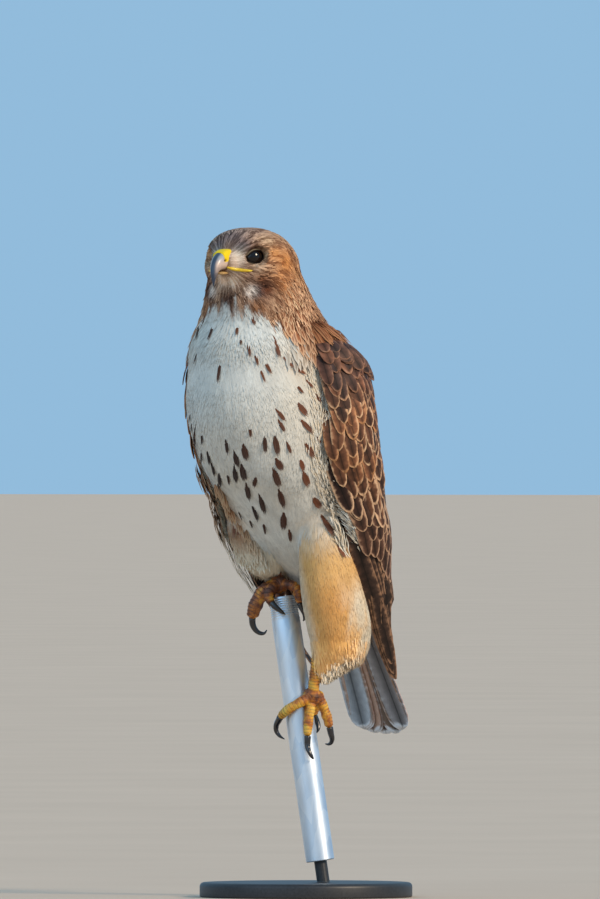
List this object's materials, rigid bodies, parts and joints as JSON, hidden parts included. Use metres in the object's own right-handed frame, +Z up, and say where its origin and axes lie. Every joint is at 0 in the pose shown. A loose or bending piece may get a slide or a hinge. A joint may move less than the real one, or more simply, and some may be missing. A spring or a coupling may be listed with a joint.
{
  "type": "red-tailed hawk",
  "caption": "Life-size perched hawk with folded wings and tail, gripping a cut length of leaning pipe on a flat round stand.",
  "frame": {"origin": "centre of the stand base's underside", "axes": "+Z up, the bird faces -Y, its left side is towards +X"},
  "size_m": [0.204, 0.305, 0.6264],
  "materials": {
    "plumage_brown": "matt brown flight feathers",
    "plumage_pale": "matt white and cream body feathers",
    "plumage_gold": "matt golden leg feathers",
    "plumage_head": "matt rufous brown head feathers",
    "eye_dark": "wet dark eye",
    "skin_yellow": "scaled yellow skin",
    "horn_dark": "polished black horn",
    "horn_grey": "blue-grey horn",
    "galvanised": "dull galvanised",
    "stand_black": "matt black paint"
  },
  "bodies": {
    "root": {"torso": "plumage_pale", "neck": "plumage_head", "head": "plumage_head", "eye_left": "eye_dark", "eye_right": "eye_dark", "cere": "skin_yellow", "upper_bill": "horn_grey", "lower_bill": "horn_grey", "thigh_left": "plumage_gold", "thigh_right": "plumage_gold", "shin_left": "skin_yellow", "shin_right": "skin_yellow", "foot_left": "skin_yellow", "foot_right": "skin_yellow", "wing_left": "plumage_brown", "wing_right": "plumage_brown", "tail": "plumage_brown", "perch_pipe": "galvanised", "stand_rod": "stand_black", "stand_base": "stand_black", "claw_left_inner": "horn_dark", "claw_left_middle": "horn_dark", "claw_left_outer": "horn_dark", "claw_left_hind": "horn_dark", "claw_right_inner": "horn_dark", "claw_right_middle": "horn_dark", "claw_right_outer": "horn_dark", "claw_right_hind": "horn_dark"}
  },
  "joints": []
}
